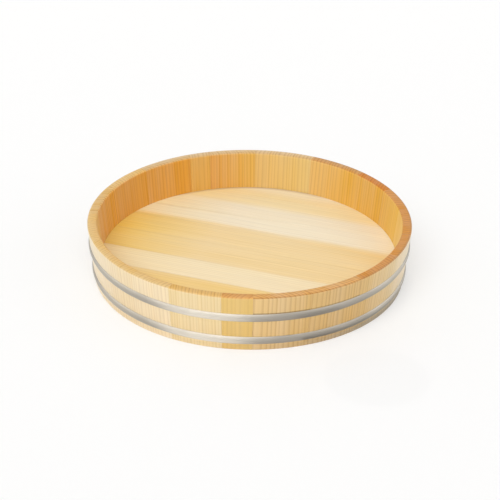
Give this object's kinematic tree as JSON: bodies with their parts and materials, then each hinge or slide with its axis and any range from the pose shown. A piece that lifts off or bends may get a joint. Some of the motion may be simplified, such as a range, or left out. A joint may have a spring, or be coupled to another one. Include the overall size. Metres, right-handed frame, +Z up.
{
  "type": "shallow serving tub",
  "caption": "Shallow round serving tub of tapered wooden staves with a recessed board floor, bound by half-round stainless hoops, for mixing and serving rice.",
  "frame": {"origin": "centre of the foot ring, on the surface that the tub stands on", "axes": "+Z up along the tub's axis, -Y towards the front of the picture's view, +X to its right"},
  "size_m": [0.3594, 0.3594, 0.066],
  "materials": {
    "stave_wood": "planed straight-grained softwood, unsealed",
    "floor_cream": "planed pale sapwood, unsealed",
    "floor_tan": "planed honey-coloured heartwood, unsealed",
    "bamboo": "split and rounded bamboo",
    "hoop_steel": "satin stainless"
  },
  "bodies": {
    "root": {"stave_01": "stave_wood", "stave_02": "stave_wood", "stave_03": "stave_wood", "stave_04": "stave_wood", "stave_05": "stave_wood", "stave_06": "stave_wood", "stave_07": "stave_wood", "stave_08": "stave_wood", "stave_09": "stave_wood", "stave_10": "stave_wood", "stave_11": "stave_wood", "stave_12": "stave_wood", "stave_13": "stave_wood", "stave_14": "stave_wood", "stave_15": "stave_wood", "stave_16": "stave_wood", "stave_17": "stave_wood", "stave_18": "stave_wood", "stave_19": "stave_wood", "stave_peg_01": "bamboo", "stave_peg_02": "bamboo", "stave_peg_03": "bamboo", "stave_peg_04": "bamboo", "stave_peg_05": "bamboo", "stave_peg_06": "bamboo", "stave_peg_07": "bamboo", "stave_peg_08": "bamboo", "stave_peg_09": "bamboo", "stave_peg_10": "bamboo", "stave_peg_11": "bamboo", "stave_peg_12": "bamboo", "stave_peg_13": "bamboo", "stave_peg_14": "bamboo", "stave_peg_15": "bamboo", "stave_peg_16": "bamboo", "stave_peg_17": "bamboo", "stave_peg_18": "bamboo", "stave_peg_19": "bamboo", "floor_board_1": "floor_cream", "floor_board_2": "floor_tan", "floor_board_3": "floor_cream", "floor_board_4": "floor_tan", "floor_board_5": "floor_tan", "floor_board_6": "floor_cream", "floor_board_7": "floor_tan", "floor_board_8": "floor_tan", "floor_peg_01": "bamboo", "floor_peg_02": "bamboo", "floor_peg_03": "bamboo", "floor_peg_04": "bamboo", "floor_peg_05": "bamboo", "floor_peg_06": "bamboo", "floor_peg_07": "bamboo", "floor_peg_08": "bamboo", "floor_peg_09": "bamboo", "floor_peg_10": "bamboo", "floor_peg_11": "bamboo", "floor_peg_12": "bamboo", "upper_hoop": "hoop_steel", "lower_hoop": "hoop_steel"}
  },
  "joints": []
}
